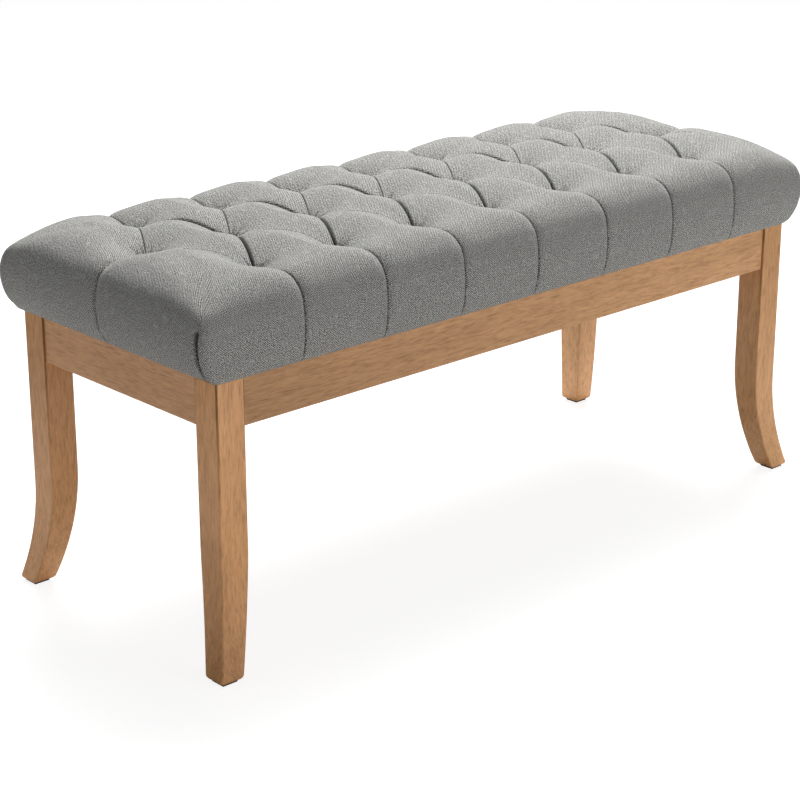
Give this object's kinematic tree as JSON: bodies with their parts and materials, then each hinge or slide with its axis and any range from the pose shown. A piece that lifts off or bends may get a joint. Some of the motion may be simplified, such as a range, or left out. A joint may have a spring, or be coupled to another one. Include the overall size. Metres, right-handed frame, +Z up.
{
  "type": "upholstered bench",
  "caption": "Backless bench with a deep diamond-tufted fabric seat on a wooden rail frame with outswept sabre legs.",
  "frame": {"origin": "on the floor, under the middle of the bench", "axes": "+X along the bench, +Y to the rear (the pictured long side faces -Y), +Z up"},
  "size_m": [1.0952, 0.4324, 0.5],
  "materials": {
    "oak": "honey-brown oak, fine straight grain, satin lacquer",
    "plain_wood": "sawn hardwood, unfinished",
    "plywood": "plywood, unfinished",
    "seat_cloth": "mid-grey linen-look weave with light flecks, matte",
    "foam": "open-cell foam",
    "black_cloth": "black non-woven cloth, matte",
    "twine": "waxed twine",
    "pad_felt": "dark pressed felt",
    "zinc_steel": "zinc plated"
  },
  "bodies": {
    "root": {"block_screws": "zinc_steel", "corner_block_front_left": "plain_wood", "corner_block_front_right": "plain_wood", "corner_block_rear_left": "plain_wood", "corner_block_rear_right": "plain_wood", "dust_cover": "black_cloth", "foam_pad": "foam", "foot_pad_front_left": "pad_felt", "foot_pad_front_right": "pad_felt", "foot_pad_rear_left": "pad_felt", "foot_pad_rear_right": "pad_felt", "front_rail": "oak", "left_end_rail": "oak", "leg_bolt_nuts": "zinc_steel", "leg_bolt_washers": "zinc_steel", "leg_bolts": "zinc_steel", "leg_front_left": "oak", "leg_front_right": "oak", "leg_rear_left": "oak", "leg_rear_right": "oak", "rail_dowels": "plain_wood", "rear_rail": "oak", "right_end_rail": "oak", "seat_board": "plywood", "seat_brackets": "zinc_steel", "seat_cover": "seat_cloth", "seat_screws": "zinc_steel", "tufting_twine": "twine"}
  },
  "joints": []
}
